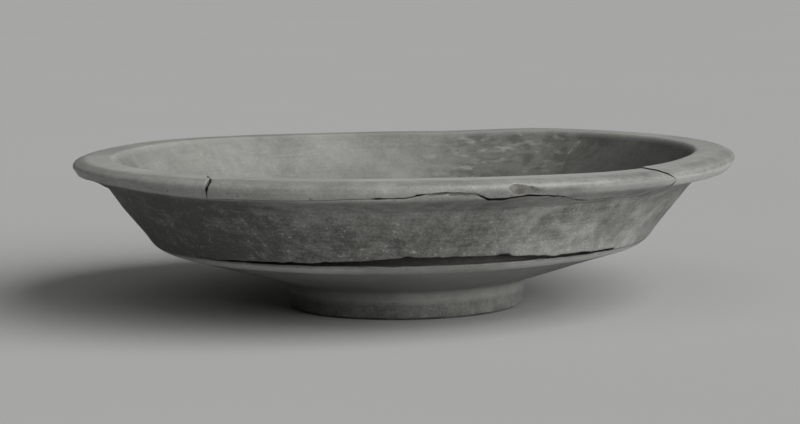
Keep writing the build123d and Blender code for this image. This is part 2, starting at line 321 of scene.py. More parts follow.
class Section:
    """The half section of the bowl and the places of its breaks."""

    # The carination break's ledge and its rise above the corner, and the rim break's drop inside
    ledge = 4.5 * MM
    break_rise = 2.9 * MM
    inner_drop = 6.4 * MM
    # The lip's edge, face and crown, and how far the sides of the foot lean
    edge_inset = 2.7 * MM
    face_drop = 1.6 * MM
    face_height = 2.2 * MM
    crown_inset = 4.2 * MM
    foot_lean = 1.5 * MM

    def __init__(self, sizes):
        self.sizes = sizes

        def point(radius, height):
            return np.array([radius, height])

        rim, top = sizes.rim_radius, sizes.height
        root = point(rim - sizes.flange_overhang, top - sizes.flange_drop)
        corner = point(root[0] - sizes.wall_flare, sizes.carination)
        self.lip_edge = point(rim - self.edge_inset, top - sizes.lip_depth)
        face_top = point(rim, top - self.face_drop)
        face_bottom = face_top - point(0, self.face_height)
        face_middle = (face_top + face_bottom) / 2
        crown = point(rim - self.crown_inset, top)
        foot_outer = point(sizes.foot_radius, 0)
        foot_inner = point(sizes.foot_radius - sizes.foot_width, 0)
        foot_root = foot_outer + point(self.foot_lean, sizes.foot_height)
        recess_edge = foot_inner + point(-self.foot_lean, sizes.recess)
        up_wall = unit(root - corner)
        into_wall = point(-up_wall[1], up_wall[0])
        along = unit(corner - foot_root)
        into_underbody = point(-along[1], along[0])
        wall_foot = corner + into_wall * sizes.thickness
        slope_foot = foot_root + into_underbody * sizes.thickness
        floor = point(0, sizes.recess + sizes.thickness)
        level = point(1, 0)
        rim_inner = meeting(wall_foot, up_wall, point(0, top), level)
        inner_corner = meeting(wall_foot, up_wall, slope_foot, along)
        floor_edge = meeting(floor, level, slope_foot, along)
        self.outer = Skin(rounded([
            (point(0, sizes.recess), 0), (recess_edge, 3 * MM), (foot_inner, 1.2 * MM),
            (foot_outer, 1.2 * MM), (foot_root, 3 * MM), (corner, 12 * MM), (root, 4 * MM),
            (self.lip_edge, 1.8 * MM), (face_bottom, 2 * MM), (face_middle, 0),
        ]))
        self.inner = Skin(rounded([
            (floor, 0), (floor_edge, 60 * MM), (inner_corner, 14 * MM), (rim_inner, 2.6 * MM),
            (crown, 6 * MM), (face_top, 2 * MM), (face_middle, 0),
        ]))
        self.outer_root = self.outer.nearest(root)
        self.outer_lip = self.outer.nearest(self.lip_edge)
        self.inner_rim = self.inner.nearest(rim_inner)
        self.inner_crown = self.inner.nearest(crown)
        self.inner_corner = self.inner.nearest(inner_corner)
        self.outer_corner = self.outer.nearest(corner)
        edge = corner + up_wall * self.break_rise
        self.knee = edge - level * self.ledge
        self.inner_break = meeting(wall_foot, up_wall, point(0, top - self.inner_drop), level)
        self.inner_break_distance = self.inner.at_height(
            self.inner_break[1], self.inner_corner, self.inner_rim
        )
        self.lifts = np.linspace(-2.5 * MM, 6 * MM, 35)
        self.inner_lifts = np.array([
            self.inner.meets(
                self.knee + point(0, lift), into_wall, 0.6 * self.inner_corner, self.inner_rim
            )
            for lift in self.lifts
        ])
        self.rim_offsets = np.linspace(-7 * MM, 3.6 * MM, 43)
        self.rim_crossings = np.array([self.rim_crossing(offset) for offset in self.rim_offsets])

    def rim_crossing(self, offset):
        """Where a rim break with that offset at the lip's edge comes out of the outer skin."""
        outside = self.lip_edge + np.array([0, offset])
        run = unit(outside - self.inner_break)
        start = self.outer_root - 4 * MM
        return self.outer.meets(self.inner_break, run, start, self.outer.length)

    def carination_path(self, lift, count):
        """The carination break from outside to inside, one row of points for each lift."""
        low = self.outer_corner - 9 * MM
        start = self.outer.at_height(self.knee[1] + lift, low, self.outer_root)
        outside = self.outer.at(start)
        knee = np.stack([np.full_like(lift, self.knee[0]), self.knee[1] + lift], -1)
        end = np.interp(lift, self.lifts, self.inner_lifts)
        inside = self.inner.at(end)
        share = np.linspace(0, 1, count)[None, :, None]
        bend = 0.42
        first = outside[:, None] + (knee - outside)[:, None] * np.minimum(share / bend, 1)
        second = (inside - knee)[:, None] * np.maximum((share - bend) / (1 - bend), 0)
        return start, end, first + second

    def rim_path(self, offset, lift, count):
        """The rim break from outside to inside, one row of points for each offset."""
        start = np.interp(offset, self.rim_offsets, self.rim_crossings)
        end = self.inner_break_distance + lift
        share = np.linspace(0, 1, count)[None, :, None]
        outside, inside = self.outer.at(start)[:, None], self.inner.at(end)[:, None]
        return start, end, outside + (inside - outside) * share


def above_film(path):
    """The path with room for the adhesive under it, closing up at the skin on both sides."""
    share = np.linspace(0, 1, path.shape[1])
    room = FILM_ROOM * smooth(np.minimum(share, 1 - share), 0, 0.1)
    return path + np.stack([0 * room, room], -1)


# Random surfaces, the same on every run


def lumps(points, size, seed=0):
    """Smooth random values from 0 to 1 in space, with features of about the given size."""
    place = points / size + 31.7 * seed + 1000
    cell = np.floor(place).astype(np.int64)
    blend = place - cell
    blend = blend * blend * (3 - 2 * blend)
    total = 0
    for corner in itertools.product((0, 1), repeat=3):
        spot = cell + np.array(corner)
        mixed = spot[..., 0] * 73856093 ^ spot[..., 1] * 19349663 ^ spot[..., 2] * 83492791
        mixed = (mixed ^ mixed >> 15) * 2246822519
        mixed = (mixed ^ mixed >> 13) * 3266489917
        weight = np.where(corner, blend, 1 - blend).prod(-1)
        total = total + weight * ((mixed ^ mixed >> 16) & 0xFFFF) / 0xFFFF
    return total


def rough(points, size, seed=0):
    """Random values from -1 to 1 with a coarse and a fine grain."""
    return 1.3 * lumps(points, size, seed) + 0.7 * lumps(points, size / 2.7, seed + 1) - 1


# Sums on values and on places in space


def smooth(value, low, high):
    share = np.clip((value - low) / (high - low), 0, 1)
    return share * share * (3 - 2 * share)


def tabled(value, table):
    """What a table of pairs gives at each value."""
    return np.interp(value, *np.array(table, float).T)


def around(radius, angle, height):
    return np.stack([radius * np.cos(angle), radius * np.sin(angle), height], -1)


def on_ring(track, angle):
    """Places at some angles in degrees on the level ring of a point of the half section."""
    turn = np.radians(angle)
    return around(np.full_like(turn, track[0]), turn, np.zeros_like(turn))


def polar(points):
    """Radius, angle in degrees and height of points in space."""
    x, y, height = points.T
    return np.hypot(x, y), np.degrees(np.arctan2(y, x)) % 360, height


# Breaks, wear and the finish of the skin, place by place


class Break:
    """A break from the wall's foot to the lip, as an angle for every radius and height.

    It is tight, except where it opens: a width for each radius, and a share of it for each
    height. Down the lip it may lean sideways. Wear and chips are the widths lost along its edges,
    and filler the share of pale mending paste rubbed over it.
    """

    # Where the lean starts, outwards and downwards, and the runs over which it grows to the full
    lean_radius, lean_out = 114.6 * MM, 11.4 * MM
    lean_height, lean_down = 61 * MM, 5.5 * MM

    def __init__(self, plan, seed, wear, chips, filler=0, opens=None, lean=0):
        radii, angles = np.array(plan, float).T
        turn, radii = np.radians(angles), radii * MM
        line = np.stack([radii * np.cos(turn), radii * np.sin(turn)], 1)
        inward = unit(line[0] - line[1]) * 20 * MM
        outward = unit(line[-1] - line[-2]) * 6 * MM
        line = Skin(np.array([line[0] + inward, *line, line[-1] + outward]))
        plan = line.at(np.linspace(0, line.length, 300))
        self.radii = np.linalg.norm(plan, axis=1)
        self.angles = np.unwrap(np.arctan2(plan[:, 1], plan[:, 0]))
        self.seed, self.wear, self.chips, self.filler = seed, wear, chips, filler
        self.opens, self.lean = opens, math.radians(lean)

    def angle(self, points, side):
        """Angle of one face of the break at points of the half section."""
        radius, height = points[..., 0], points[..., 1]
        spot = np.concatenate([points, np.full(points.shape[:-1] + (1,), self.seed * 40 * MM)], -1)
        gap = np.full(radius.shape, TIGHT_GAP)
        if self.opens:
            widths, parts = self.opens
            width = tabled(radius / MM, widths) * tabled(height / MM, parts)
            gap = gap + MM * width * (0.4 + 1.2 * lumps(spot, 1.5 * MM, self.seed + 50))
        shift = RAGGED_BREAK * (2 * lumps(spot, 6 * MM, self.seed) - 1) + side * gap / 2
        leaning = np.clip((radius - self.lean_radius) / self.lean_out, 0, 1)
        leaning = leaning * np.clip((self.lean_height - height) / self.lean_down, 0, 1)
        return np.interp(radius, self.radii, self.angles) + shift / radius + self.lean * leaning


def shares(length, coarse, start, end):
    """Shares of a run in coarse steps that are finer towards its start and its end."""
    place = np.linspace(0, length, 2000)
    step = np.minimum(coarse, np.minimum(start + 0.2 * place, end + 0.2 * (length - place)))
    count = np.append(0, np.cumsum((1 / step[:-1] + 1 / step[1:]) / 2 * np.diff(place)))
    return np.interp(np.linspace(0, count[-1], math.ceil(count[-1]) + 1), count, place) / length


def worn(distance, points, wear, chips, seed):
    """Depth lost beside a break: a worn edge, with a larger chip here and there."""
    width = wear * (0.35 + lumps(points, 3.5 * MM, seed))
    width = width + chips * smooth(lumps(points, 6 * MM, seed + 2), 0.62, 0.9)
    return 0.5 * width * np.clip(1 - distance / width, 0, 1) ** 1.3


def unevenness(points):
    """Shallow dents and waves of a hand-turned surface, always into the clay."""
    waves = 0.3 * lumps(points, 60 * MM, 5) + 0.16 * lumps(points, 17 * MM, 6)
    grit = 0.05 * lumps(points, 3 * MM, 7)
    standing = smooth(points[..., 2], 0.5 * MM, 5 * MM)
    return (waves + grit) * standing * MM


def into_clay(points):
    """Unit normals into the clay along rows of section points that run anticlockwise."""
    run = np.gradient(points, axis=1)
    run = run / np.maximum(np.linalg.norm(run, axis=2, keepdims=True), 1e-9)
    return np.stack([-run[..., 1], run[..., 0]], -1)


def measured(points):
    """Distance along each row of section points from its start."""
    steps = np.linalg.norm(np.diff(points, axis=1), axis=2)
    return np.concatenate([np.zeros((len(points), 1)), np.cumsum(steps, axis=1)], 1)


class Side:
    """One of the four sides of a sherd's section: rows of points, and its wear if broken."""

    def __init__(self, points, broken=None):
        self.points, self.broken = points, broken


def weathered(sides, spots, ends):
    """Moves the sides of a section into the clay where edges are worn and the skin is uneven.

    spots gives the places of a side's points in space, and ends their distance from the breaks
    at the two ends of the sherd. Returns the moved points, how bare the clay is there and how
    much filler is rubbed over it.
    """
    moves, bares, fillers = [], [], []
    for index, side in enumerate(sides):
        place = spots[index]
        fillers.append(np.zeros(place.shape[:2]))
        if side.broken:
            moves.append(None)
            bares.append(np.ones(place.shape[:2]))
            continue
        before, after = sides[index - 1], sides[(index + 1) % len(sides)]
        along = measured(side.points)
        depth = np.zeros(place.shape[:2])
        uneven = unevenness(place)
        for neighbour, distance in ((before, along), (after, along[:, -1:] - along)):
            if neighbour.broken:
                depth = np.maximum(depth, worn(distance, place, *neighbour.broken))
                uneven = uneven * smooth(distance, 0, 6 * MM)
        for distance, edge in ends[index]:
            depth = np.maximum(depth, worn(distance, place, edge.wear, edge.chips, edge.seed))
            reach = (0.5 + 3.5 * lumps(place, 7 * MM, edge.seed + 60) ** 2) * MM
            paste = edge.filler * np.clip(1.4 - distance / reach, 0, 1)
            fillers[index] = np.maximum(fillers[index], paste)
        moves.append(into_clay(side.points) * (depth + uneven)[..., None])
        bares.append(smooth(depth, 0.04 * MM, 0.2 * MM))
    for index, side in enumerate(sides):
        if not side.broken:
            continue
        count = side.points.shape[1]
        share = np.linspace(0, 1, count)[None, :, None]
        first = moves[index - 1][:, -1:]
        last = moves[(index + 1) % len(sides)][:, :1]
        grain = 0.12 * MM * (1 + rough(spots[index], 2.6 * MM, 11))[..., None]
        grain = grain * np.minimum(1, 6 * np.minimum(share, 1 - share))
        moves[index] = first * (1 - share) ** 5 + last * share**5 + into_clay(side.points) * grain
    moved = [side.points + move for side, move in zip(sides, moves)]
    return moved, bares, fillers


def outside(radius, height):
    """1 on the outer half of the wall and the underbody, and 0 on their inner half."""
    start, low, run = WALL_MIDDLE
    wall = start + np.maximum(height - low, 0) * run
    start, low, run = UNDERBODY_MIDDLE
    underbody = start + (height - low) * run
    return (radius > np.minimum(wall, underbody)).astype(float)


def slip_fields(points):
    """Shares of the slip made pale, made dark, mottled, smeared and pitted, place by place. The
    pale share is partly wear and partly painted light; the dark share is partly stain and partly
    painted shade.
    """
    radius, angle, height = polar(points)

    def span(start, full, fade, end):
        return smooth(angle, start, full) * (1 - smooth(angle, fade, end))

    def above(low, high):
        return smooth(height, low * MM, high * MM)

    def beyond(low, high):
        return smooth(radius, low * MM, high * MM)

    patches = lumps(points * (1, 1, 2.2), 13 * MM, 71) * 0.7 + lumps(points, 4 * MM, 72) * 0.3
    outer = outside(radius, height)
    on_top = above(58.5, 60.5)
    inner = (1 - outer) * (1 - on_top) * beyond(25, 80)
    edge = (1 - outer) * above(56.5, 59) * (1 - beyond(112.5, 115.5))
    lip = beyond(120, 124) * above(52.5, 54)
    flange = on_top * beyond(112, 116)
    wall = outer * (1 - lip) * (1 - flange) * above(26, 28)
    flange = flange * (1 - beyond(123, 127))
    below = outer * above(17, 22) * beyond(78, 90) * (1 - above(26, 27))
    # The underbody below the carination, which gets painted shade
    under = outer * (1 - above(19, 22.5))
    far, left = span(50, 75, 120, 150), span(150, 170, 222, 262)
    right = 1 - span(47.5, 49, 300, 320)
    right_patch = smooth(patches + 0.25 - (height - 25 * MM) / (80 * MM), 0.42, 0.56)
    right_patch = right_patch * span(282, 294, 326, 340)
    face = lip * (1 - above(56.6, 58.4))
    crown = (0.55 * beyond(124, 127) + 0.45 * beyond(128, 129.8)) * above(56.6, 58.4)
    rim = tabled(angle, FLANGE_SLIP) * flange + tabled(angle, CROWN_SLIP) * crown
    rim = rim + tabled(angle, FACE_SLIP) * face
    # Pale share: wear, and painted light on the lip face and the flange
    rubbed = np.maximum(rim, 0)
    # A paler band just under the carination, less pale in the middle of the front
    rubbed = np.maximum(rubbed, (0.9 - 0.7 * span(250, 268, 284, 300)) * below)
    rubbed = np.maximum(rubbed, 0.45 * wall * right_patch)
    # High on the front wall, under the lip, the painted shade is lighter because the lip already
    # shades it
    high = above(40.5, 47) * span(238, 250, 280, 290)
    # Painted shade on the outer wall: more in the middle of the front, much more on the left, with
    # random patches
    shade = 0.37 + 0.19 * span(245, 258, 282, 300) + 0.1 * span(262, 270, 286, 294)
    shade = shade * (1 - 0.75 * high) + 0.8 * left
    shade = shade + 0.15 * (1 - right_patch) * smooth(patches, 0.45, 0.65)
    # Darker inside and more so towards the right: partly a stain on the right sherd, partly painted
    # shade
    stained = inner * (0.36 + 0.08 * far + 0.2 * span(47.5, 49, 52, 88) + 0.36 * right)
    # Painted shade on the rim's inner edge at the far side, where it catches the light
    stained = np.maximum(stained, 0.55 * edge * span(60, 90, 122, 165))
    # The dark share gathers painted shade on the crown and lower lip, the outer wall and the
    # underbody
    stained = np.maximum(np.maximum(stained, -rim), np.maximum(wall * shade, 0.8 * under))
    smeared = inner * span(46, 50, 72, 92)
    mottled = np.maximum(np.maximum(wall, 0.15 * inner), 0.4 * lip)
    mottled = np.maximum(mottled, 0.6 * below + 0.35 * under)
    pitted = np.maximum(0.12 * wall, lip * (1 - above(55.5, 57)))
    return {
        "rubbed": rubbed,
        "stained": stained,
        "mottled": mottled,
        "smeared": smeared,
        "pitted": pitted,
    }


# Closed sherds from their sections


def linked(name, mesh, finish):
    mesh.materials.append(finish)
    piece = bpy.data.objects.new(name, mesh)
    bpy.context.scene.collection.objects.link(piece)
    return piece


def make_piece(name, node, points, fields, faces, clay):
    """Links a closed clay piece that stands for a CAD node."""
    mesh = bpy.data.meshes.new(name)
    mesh.from_pydata(points.tolist(), [], faces)
    if mesh.validate():
        raise RuntimeError(f"{name} has faces that don't close")
    mesh.polygons.foreach_set("use_smooth", [True] * len(mesh.polygons))
    mesh.set_sharp_from_angle(angle=SHARP_EDGE)
    for key, values in fields.items():
        field = mesh.attributes.new(key, "FLOAT", "POINT")
        field.data.foreach_set("value", values.astype(np.float32))
    piece = linked(name, mesh, clay)
    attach(piece, "root")
    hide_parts(node)


def patch(loop, counts):
    """Fills a four-sided section from its edge loop, as a grid of points."""
    across, up = counts
    a, b = loop[:across], loop[across - 1:across + up - 1]
    c = loop[across + up - 2:2 * across + up - 2][::-1]
    d = np.concatenate([loop[2 * across + up - 3:], loop[:1]])[::-1]
    s, t = np.linspace(0, 1, across)[:, None, None], np.linspace(0, 1, up)[None, :, None]
    ruled = a[:, None] * (1 - t) + c[:, None] * t + d[None] * (1 - s) + b[None] * s
    corners = (1 - s) * (1 - t) * a[0] + s * (1 - t) * a[-1] + s * t * c[-1] + (1 - s) * t * c[0]
    return ruled - corners


def between_breaks(first, second, points):
    """Angles of the two ends of a stretch between breaks, at rows of points of the half section."""
    start, end = first.angle(points, 1), second.angle(points, -1)
    return start, end + math.tau * (end[:1, :1] < start[:1, :1])


def make_sherd(name, node, first, second, share, sides, clay, moves, scoop=None):
    """A closed sherd between two breaks, from the four sides of its section at each share.

    A scoop takes flakes off it, and the moves then bring it to its place in the mended bowl.
    """
    share = share[:, None]

    def spread(points):
        start, end = between_breaks(first, second, points)
        return start + share * (end - start), start, end

    spots, ends = [], []
    for side in sides:
        angle, start, end = spread(side.points)
        radius = side.points[..., 0]
        spots.append(around(radius, angle, side.points[..., 1]))
        ends.append((((angle - start) * radius, first), ((end - angle) * radius, second)))
    moved, bares, fillers = weathered(sides, spots, ends)
    loop = np.concatenate([points[:, :-1] for points in moved], 1)
    still = np.concatenate([side.points[:, :-1] for side in sides], 1)
    bare, filler = (
        np.concatenate([values[:, :-1] for values in field], 1) for field in (bares, fillers)
    )
    edge_start = 0
    for index, side in enumerate(sides):
        if side.broken:
            bare[:, edge_start] = np.maximum(bare[:, edge_start], bares[index - 1][:, -1])
        edge_start += side.points.shape[1] - 1
    angle = spread(still)[0]
    rows, around_loop = loop.shape[:2]
    points = around(loop[..., 0], angle, loop[..., 1]).reshape(-1, 3)
    bare, filler = bare.reshape(-1), filler.reshape(-1)
    number = np.arange(rows * around_loop).reshape(rows, around_loop)
    after = np.roll(number, -1, axis=1)
    quads = [np.stack([number[:-1], number[1:], after[1:], after[:-1]], -1).reshape(-1, 4)]
    counts = sides[0].points.shape[1], sides[1].points.shape[1]
    for row, face, side in ((0, first, 1), (rows - 1, second, -1)):
        grid = patch(loop[row], counts)
        index = np.full(counts, -1)
        across, up = counts
        ring = number[row]
        index[:, 0] = ring[:across]
        index[-1, :] = ring[across - 1:across + up - 1]
        index[::-1, -1] = ring[across + up - 2:2 * across + up - 2]
        index[0, ::-1] = np.append(ring[2 * across + up - 3:], ring[0])
        inside = grid[1:-1, 1:-1].reshape(-1, 2)
        turn = face.angle(inside, side) + side * FILM_ROOM / 2 / inside[:, 0]
        added = np.arange(len(points), len(points) + len(inside))
        index[1:-1, 1:-1] = added.reshape(across - 2, up - 2)
        points = np.concatenate([points, around(inside[:, 0], turn, inside[:, 1])])
        bare = np.append(bare, np.ones(len(inside)))
        quad = np.stack([index[:-1, :-1], index[1:, :-1], index[1:, 1:], index[:-1, 1:]], -1)
        quad = quad.reshape(-1, 4)
        quads.append(quad if side > 0 else quad[:, ::-1])
    filler = np.append(filler, np.zeros(len(bare) - len(filler)))
    fields = slip_fields(points)
    if scoop:
        points, lost = scoop(points)
        bare = np.maximum(bare, lost)
    for move in moves:
        points = move(points)
    fields.update(bare=bare, filler=filler)
    make_piece(name, node, points, fields, np.concatenate(quads).tolist(), clay)


# Shaders


class Wire:
    """A socket of a node, so that sums on values are written as plain expressions."""

    def __init__(self, nodes, socket):
        self.nodes, self.socket = nodes, socket

    def sum(self, operation, *values):
        return self.nodes.node("ShaderNodeMath", {"operation": operation}, dict(enumerate(values)))

    def __add__(self, other):
        return self.sum("ADD", self, other)

    def __sub__(self, other):
        return self.sum("SUBTRACT", self, other)

    def __rsub__(self, other):
        return self.sum("SUBTRACT", other, self)

    def __mul__(self, other):
        return self.sum("MULTIPLY", self, other)

    def __truediv__(self, other):
        return self.sum("DIVIDE", self, other)

    def __rtruediv__(self, other):
        return self.sum("DIVIDE", other, self)

    __radd__, __rmul__ = __add__, __mul__


class Nodes:
    """The nodes of a material or a world."""

    def __init__(self, owner):
        owner.use_nodes = True
        self.owner, self.tree = owner, owner.node_tree
        self.tree.nodes.clear()

    def node(self, kind, settings, sockets, out=0):
        """Adds a node: its settings first, then the values or links of its sockets."""
        made = self.tree.nodes.new(kind)
        for key, value in settings.items():
            setattr(made, key, value)
        for key, value in sockets.items():
            if isinstance(value, Wire):
                self.tree.links.new(value.socket, made.inputs[key])
            else:
                made.inputs[key].default_value = value
        return Wire(self, made.outputs[out]) if made.outputs else None


class Finish(Nodes):
    """A material, the patterns it is made of and its surface."""

    def __init__(self, name):
        super().__init__(bpy.data.materials.new(name))

    def surfaced(self, sockets):
        """The material, with the values or links of its surface shader's sockets."""
        shader = self.node("ShaderNodeBsdfPrincipled", {}, sockets)
        self.node("ShaderNodeOutputMaterial", {}, {"Surface": shader})
        return self.owner

    def places(self):
        return self.node("ShaderNodeTexCoord", {}, {}, "Object")

    def stretched(self, places, *sizes):
        """Places measured in steps of a size along each axis."""
        steps = tuple(1 / size for size in sizes)
        return self.node("ShaderNodeVectorMath", {"operation": "MULTIPLY"}, {0: places, 1: steps})

    def clouds(self, places, size, detail=3, roughness=0.55):
        """Cloudy random values around a half."""
        sizes = size if isinstance(size, tuple) else (size,) * 3
        vector = self.stretched(places, *sizes)
        sockets = {"Vector": vector, "Scale": 1, "Detail": detail, "Roughness": roughness}
        return self.node("ShaderNodeTexNoise", {"noise_dimensions": "3D"}, sockets)

    def between(self, value, low, high, kind="SMOOTHSTEP"):
        """A step from 0 at low to 1 at high."""
        settings = {"interpolation_type": kind, "clamp": True}
        return self.node("ShaderNodeMapRange", settings, {"Value": value, 1: low, 2: high})

    def mix(self, share, first, second):
        """A blend of two colours."""
        sockets = {0: share, 6: first, 7: second}
        return self.node("ShaderNodeMix", {"data_type": "RGBA"}, sockets, 2)

    def part(self, vector, axis):
        return self.node("ShaderNodeSeparateXYZ", {}, {0: vector}, axis)

    def attribute(self, name):
        return self.node("ShaderNodeAttribute", {"attribute_name": name}, {}, "Fac")

    def bump(self, height, depth, strength=1.0):
        sockets = {"Height": height, "Distance": depth, "Strength": strength}
        return self.node("ShaderNodeBump", {}, sockets)


def slipped_clay():
    """Worn slip over clay: clouds and turning lines, worn flecks, pits, bare broken edges, and the
    painted light and painted shade of its pale and dark shares.
    """
    material = bpy.data.materials.get("slipped_clay_finish")
    if material:
        return material
    colours = bpy.context.scene.bowl_colours
    slip, dark, worn_slip, clay, filler, soil = (
        (*getattr(colours, key), 1)
        for key in ("slip", "slip_dark", "slip_worn", "clay", "filler", "soil")
    )
    f = Finish("slipped_clay_finish")
    places = f.places()
    flat = f.node("ShaderNodeVectorMath", {"operation": "MULTIPLY"}, {0: places, 1: (1, 1, 0)})
    radius = f.node("ShaderNodeVectorMath", {"operation": "LENGTH"}, {0: flat}, "Value")
    way = f.node("ShaderNodeVectorMath", {"operation": "NORMALIZE"}, {0: flat})
    groove = 1.1 * MM
    turned = f.node(
        "ShaderNodeCombineXYZ", {},
        {0: f.part(way, "X") * 5, 1: f.part(way, "Y") * 5, 2: f.part(places, "Z") / groove},
    )
    sockets = {"Vector": turned, "W": radius / groove, "Scale": 1, "Detail": 3, "Roughness": 0.6}
    lines = f.node("ShaderNodeTexNoise", {"noise_dimensions": "4D"}, sockets)
    bare, rubbed, stained, mottled, smeared, pitted, paste = (
        f.attribute(key)
        for key in ("bare", "rubbed", "stained", "mottled", "smeared", "pitted", "filler")
    )
    clouds = f.clouds(places, 30 * MM, 3)
    mottles = f.clouds(places, 5 * MM, 4, 0.6)
    grain = f.clouds(places, 0.9 * MM, 2)
    blotches = (mottles - 0.5) * 0.8 + (grain - 0.5) * 0.7 + (lines - 0.5) * 0.4
    strength = (0.25 + mottled * 0.75) * (2 * colours.mottling)
    # The pale share lightens and the dark share darkens the slip: wear and stain, and painted light
    # and painted shade
    tone = 0.5 + (clouds - 0.5) * 0.5 + strength * blotches + rubbed * 0.5 - stained * 0.45
    colour = f.mix(f.between(tone, 0, 0.5, "LINEAR"), dark, slip)
    colour = f.mix(f.between(tone, 0.5, 1, "LINEAR"), colour, worn_slip)
    dull = f.between(f.clouds(places, (11 * MM, 11 * MM, 4 * MM), 4, 0.6), 0.46, 0.6) * smeared
    colour = f.mix(dull * 0.6, colour, dark)
    pale = f.between(f.clouds(places, (8 * MM, 8 * MM, 2.6 * MM), 4), 0.53, 0.72) * smeared
    colour = f.mix(pale * 0.45, colour, worn_slip)
    flecks = f.between(f.clouds(places, 1.2 * MM, 3, 0.6), 0.56, 0.7) * f.between(mottles, 0.4, 0.6)
    colour = f.mix(flecks * mottled * (0.35 + grain * 0.6), colour, worn_slip)
    pits = 1 - f.between(f.clouds(places, 1.2 * MM, 2, 0.6), 0.26, 0.37)
    pits = pits * pitted
    colour = f.mix(pits * 0.8, colour, soil)
    smears = f.between(paste + (mottles - 0.5) * 1.8, 0.4, 0.9)
    colour = f.mix(smears * 0.7, colour, filler)
    broken = f.between(bare + (grain - 0.5) * 0.5, 0.3, 0.75)
    dusty = f.mix(f.between(mottles, 0.4, 0.65) * 0.6, clay, soil)
    colour = f.mix(broken, colour, dusty)
    roughness = 0.56 + broken * 0.22 + (grain - 0.5) * 0.2 - tone * 0.06
    relief = lines * 0.5 + mottles * 0.5 + grain * 0.4 - pits * 0.9 + broken * grain * 0.8
    normal = f.bump(relief, 0.12 * MM, 0.8)
    sockets = {"Base Color": colour, "Roughness": roughness, "Normal": normal}
    return f.surfaced({**sockets, "Specular IOR Level": 0.35})


def old_adhesive():
    """Brittle brown adhesive with trapped soil and shrinkage ripples."""
    colours = bpy.context.scene.bowl_colours
    f = Finish("old_adhesive_finish")
    places = f.places()
    lumpy = f.clouds(places, 2.5 * MM, 4)
    fine = f.clouds(places, 0.6 * MM, 2)
    glue, soil = (*colours.adhesive, 1), (*colours.soil, 1)
    colour = f.mix(f.between(lumpy, 0.45, 0.7), glue, soil)
    normal = f.bump(lumpy + fine * 0.4, 0.3 * MM)
    return f.surfaced({"Base Color": colour, "Roughness": 0.45 + fine * 0.3, "Normal": normal})


def stage_floor():
    """Plain pale paper with the faintest tone."""
    pale = bpy.context.scene.bowl_stage.floor
    f = Finish("floor_finish")
    tone = f.clouds(f.places(), 0.4, 2)
    shade = tuple(0.96 * value for value in pale)
    colour = f.mix(tone, (*pale, 1), (*shade, 1))
    return f.surfaced({"Base Color": colour, "Roughness": 0.95, "Specular IOR Level": 0.1})


# Sections of the pieces and their places in the mended bowl


def bowl_section():
    return Section(bpy.context.scene.bowl_sizes)


def bowl_breaks(section):
    """The five breaks that run up the wall or across the rim."""
    wear, chips = section.sizes.edge_wear, section.sizes.edge_chips
    return {
        "left": Break(LEFT_BREAK, 1, 0.4 * wear, 0.4 * chips, 0.25, LEFT_OPENING, -0.6),
        "right": Break(RIGHT_BREAK, 2, 0.03 * wear, 0.05 * chips, 0, RIGHT_OPENING, 3.8),
        "back_right": Break(BACK_RIGHT_BREAK, 3, 0.1 * wear, 0.1 * chips, 0.4),
        "back_left": Break(BACK_LEFT_BREAK, 4, 0.1 * wear, 0.1 * chips, 0.3),
        "cross": Break(RIM_CROSS_BREAK, 5, 0.01 * wear, 0),
    }


def lowered(points, drop):
    return points - np.stack([0 * drop, 0 * drop, drop], 1)


def off_centre(points):
    """The wall a little out of round, and to the left of the rim and the foot."""
    radius, _, height = polar(points)
    way = points[:, :2] / np.maximum(radius, MM)[:, None]
    oval = np.interp(height, (20 * MM, 48 * MM), (0.9 * MM, -0.5 * MM))
    shift = (OFF_CENTRE + oval * way[:, 0]) * way[:, 0] * smooth(radius, 50 * MM, 92 * MM)
    shift = shift * (1 - smooth(height, 47 * MM, 57 * MM))
    moved = points[:, :2] - way * shift[:, None]
    return np.concatenate([moved, points[:, 2:]], 1)


def settled(points):
    """The front rim settled a little towards its right end."""
    _, angle, height = polar(points)
    return lowered(points, RIM_SETTLED * smooth(angle, 272, 322) * smooth(height, 53 * MM, 60 * MM))


def sunk(points):
    """The wall sunk a little at the back, and its rim where it meets the front rim."""
    _, angle, height = polar(points)
    beside = smooth(angle, 300, 310) * (1 - smooth(angle, 318, 348))
    behind = smooth(angle, 58, 84) * (1 - smooth(angle, 98, 150))
    drop = 0.62 * RIM_SETTLED * beside * smooth(height, 46 * MM, 60 * MM)
    return lowered(points, drop + BACK_SUNK * behind * smooth(height, 26 * MM, 48 * MM))


def uneven_lip(points):
    """The lip a little blunter on the right and thinner on the left."""
    radius, angle, height = polar(points)
    right = smooth(np.abs(angle - 180), 137, 160) * (1 - smooth(angle, 10, 40) * (angle < 180))
    blunter = tabled(radius / MM, RIGHT_LIP) * right
    left = smooth(angle, 150, 180) * (1 - smooth(angle, 205, 230))
    thinner = tabled(angle, LEFT_LIP) * smooth(radius, 118 * MM, 125 * MM)
    thinner = thinner + tabled(radius / MM, LEFT_ROOT) * left
    drop = (blunter - thinner) * MM * (1 - smooth(height, 55 * MM, 59.5 * MM))
    return lowered(points, drop)


# How the sherds of the wall and those of the front come to their places in the mended bowl
WALL_MOVES = (off_centre, sunk, uneven_lip)
FRONT_MOVES = (off_centre, settled)


def angles_of(first, second, share, place):
    """Angles in degrees of a sherd's columns at one point of the half section."""
    start, end = (edge.angle(place, 0) for edge in (first, second))
    end = end + math.tau * (end < start)
    return np.degrees(start + share * (end - start)) % 360


def carination_lift(angle):
    """Ragged rise and fall of the carination break round the bowl."""
    return 0.3 * MM * rough(on_ring(CORNER_TRACK, angle), 5 * MM, 21)


